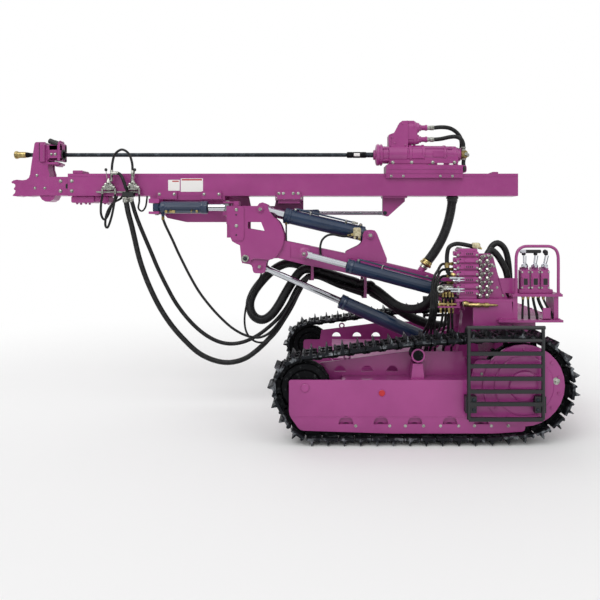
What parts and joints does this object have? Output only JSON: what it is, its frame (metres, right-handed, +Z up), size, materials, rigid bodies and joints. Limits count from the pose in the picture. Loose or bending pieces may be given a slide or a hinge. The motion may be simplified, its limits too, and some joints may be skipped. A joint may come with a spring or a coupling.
{
  "type": "blast hole drilling rig",
  "caption": "Crawler-mounted blast hole drill: a hydraulic boom and tilting head carry a long sliding feed beam with an air rock drill and rod, on two steel tracks, with rear lever controls.",
  "frame": {"origin": "centre of the overall box, on the ground under the tracks", "axes": "-X is the front with the drill bit, +X the rear, -Y the left side with the controls, +Z up"},
  "size_m": [5.2808, 2.292, 2.9024],
  "materials": {
    "black_paint": "satin",
    "cylinder_paint": "semi-gloss",
    "dark_steel": "satin",
    "hard_chrome": "polished",
    "hose_rubber": "matte",
    "plated_fittings": "satin",
    "purple_paint": "semi-gloss",
    "track_steel": "worn"
  },
  "bodies": {
    "chassis": {"chassis_frame": "purple_paint", "console_stand": "purple_paint", "drive_left": "track_steel", "drive_right": "track_steel", "fitting_panel": "purple_paint", "guard_rail": "purple_paint", "idler_left": "dark_steel", "idler_right": "dark_steel", "lever_bank": "purple_paint", "step_guard_left": "black_paint", "step_guard_right": "black_paint", "swing_stand": "purple_paint", "track_frame_left": "purple_paint", "track_frame_right": "purple_paint", "track_left": "track_steel", "track_right": "track_steel", "valve_bank": "purple_paint"},
    "swing_post": {"swing_post": "purple_paint"},
    "boom": {"boom": "purple_paint", "boom_hoses": "hose_rubber", "feed_hose": "hose_rubber", "front_hose_a": "hose_rubber", "front_hose_b": "hose_rubber", "front_hose_c": "hose_rubber", "front_hose_d": "hose_rubber", "hose_loop": "hose_rubber", "rear_hose_far": "hose_rubber", "rear_hose_near": "hose_rubber"},
    "lift_barrel": {"lift_barrel": "cylinder_paint"},
    "lift_rod": {"lift_rod": "hard_chrome"},
    "swing_yoke": {"swing_yoke": "purple_paint"},
    "swing_barrel": {"swing_barrel": "cylinder_paint"},
    "swing_rod": {"swing_rod": "hard_chrome"},
    "tilt_barrel": {"tilt_barrel": "cylinder_paint"},
    "tilt_rod": {"tilt_rod": "hard_chrome"},
    "head": {"head": "purple_paint"},
    "cradle": {"cradle": "purple_paint", "slide_barrel": "cylinder_paint"},
    "yaw_barrel": {"yaw_barrel": "cylinder_paint"},
    "yaw_rod": {"yaw_rod": "hard_chrome"},
    "feed_beam": {"centralizer": "purple_paint", "feed_beam": "purple_paint", "front_valves": "plated_fittings", "slide_bracket": "purple_paint", "slide_rod": "hard_chrome"},
    "drifter": {"drifter_body": "purple_paint", "rotation_motor": "purple_paint", "sledge": "purple_paint"},
    "drill_string": {"drill_rod": "dark_steel"}
  },
  "joints": [
    {"name": "boom_swing", "type": "hinge", "parent": "chassis", "child": "swing_post", "pos_m": [1.88, 0, 1.215], "axis": [0, 0, 1], "range_deg": [-30, 30]},
    {"name": "boom_lift", "type": "hinge", "parent": "swing_post", "child": "boom", "pos_m": [1.7, 0, 1.215], "axis": [0, 1, 0], "range_deg": [-15, 40], "deforming": ["rear_hose_near", "rear_hose_far"]},
    {"name": "lift_cylinder_pivot", "type": "hinge", "parent": "swing_post", "child": "lift_barrel", "pos_m": [1.6, 0, 0.672], "axis": [0, 1, 0], "range_deg": [-13.5, 35.6]},
    {"name": "lift_rod_travel", "type": "slide", "parent": "lift_barrel", "child": "lift_rod", "axis": [-0.9158, 0, 0.4015], "range_m": [-0.13, 0.343]},
    {"name": "swing_yoke_pivot", "type": "hinge", "parent": "chassis", "child": "swing_yoke", "pos_m": [1.88, -0.35, 1.14], "axis": [0, 0, 1], "range_deg": [-29.7, 29.7]},
    {"name": "swing_cylinder_pivot", "type": "hinge", "parent": "swing_yoke", "child": "swing_barrel", "pos_m": [1.88, -0.35, 1.14], "axis": [0, 1, 0], "range_deg": [-13.5, 35.5]},
    {"name": "swing_rod_travel", "type": "slide", "parent": "swing_barrel", "child": "swing_rod", "axis": [-0.9623, 0.1002, 0.2529], "range_m": [-0.175, 0.175]},
    {"name": "head_tilt", "type": "hinge", "parent": "boom", "child": "head", "pos_m": [-0.232, 0, 1.496], "axis": [0, -1, 0], "range_deg": [-10, 90], "deforming": ["front_hose_a", "front_hose_b", "front_hose_c", "front_hose_d", "hose_loop", "feed_hose"]},
    {"name": "tilt_cylinder_pivot", "type": "hinge", "parent": "boom", "child": "tilt_barrel", "pos_m": [0.988, 0, 1.722], "axis": [0, -1, 0], "range_deg": [-1.8, 13.7]},
    {"name": "tilt_rod_travel", "type": "slide", "parent": "tilt_barrel", "child": "tilt_rod", "axis": [-0.9731, 0, 0.2302], "range_m": [-0.075, 0.663]},
    {"name": "feed_swing", "type": "hinge", "parent": "head", "child": "cradle", "pos_m": [-0.325, 0.2, 1.86], "axis": [0, 0, 1], "range_deg": [-5, 35]},
    {"name": "feed_swing_cylinder_pivot", "type": "hinge", "parent": "cradle", "child": "yaw_barrel", "pos_m": [-1.13, 0, 2], "axis": [0, 0, 1], "range_deg": [-1.4, 8.2]},
    {"name": "feed_swing_rod_travel", "type": "slide", "parent": "yaw_barrel", "child": "yaw_rod", "axis": [1, 0, 0], "range_m": [-0.097, 0.015]},
    {"name": "feed_slide", "type": "slide", "parent": "cradle", "child": "feed_beam", "axis": [-1, 0, 0], "range_m": [0, 0.56]},
    {"name": "drifter_feed", "type": "slide", "parent": "feed_beam", "child": "drifter", "axis": [-1, 0, 0], "range_m": [0, 3]},
    {"name": "rod_spin", "type": "hinge", "parent": "drifter", "child": "drill_string", "pos_m": [0, 0.2, 2.547], "axis": [1, 0, 0], "continuous": true}
  ],
  "couplings": [
    {"joint": "lift_cylinder_pivot", "follows": "boom_lift", "ratio": 0.8812},
    {"joint": "lift_rod_travel", "follows": "boom_lift", "m_per_rad": 0.4886},
    {"joint": "swing_cylinder_pivot", "follows": "boom_lift", "ratio": 0.8794},
    {"joint": "swing_yoke_pivot", "follows": "boom_swing", "ratio": 0.98},
    {"joint": "swing_rod_travel", "follows": "boom_swing", "m_per_rad": -0.33},
    {"joint": "tilt_cylinder_pivot", "follows": "head_tilt", "ratio": 0.1483},
    {"joint": "tilt_rod_travel", "follows": "head_tilt", "m_per_rad": 0.4209},
    {"joint": "feed_swing_cylinder_pivot", "follows": "feed_swing", "ratio": 0.2246},
    {"joint": "feed_swing_rod_travel", "follows": "feed_swing", "m_per_rad": -0.156}
  ]
}
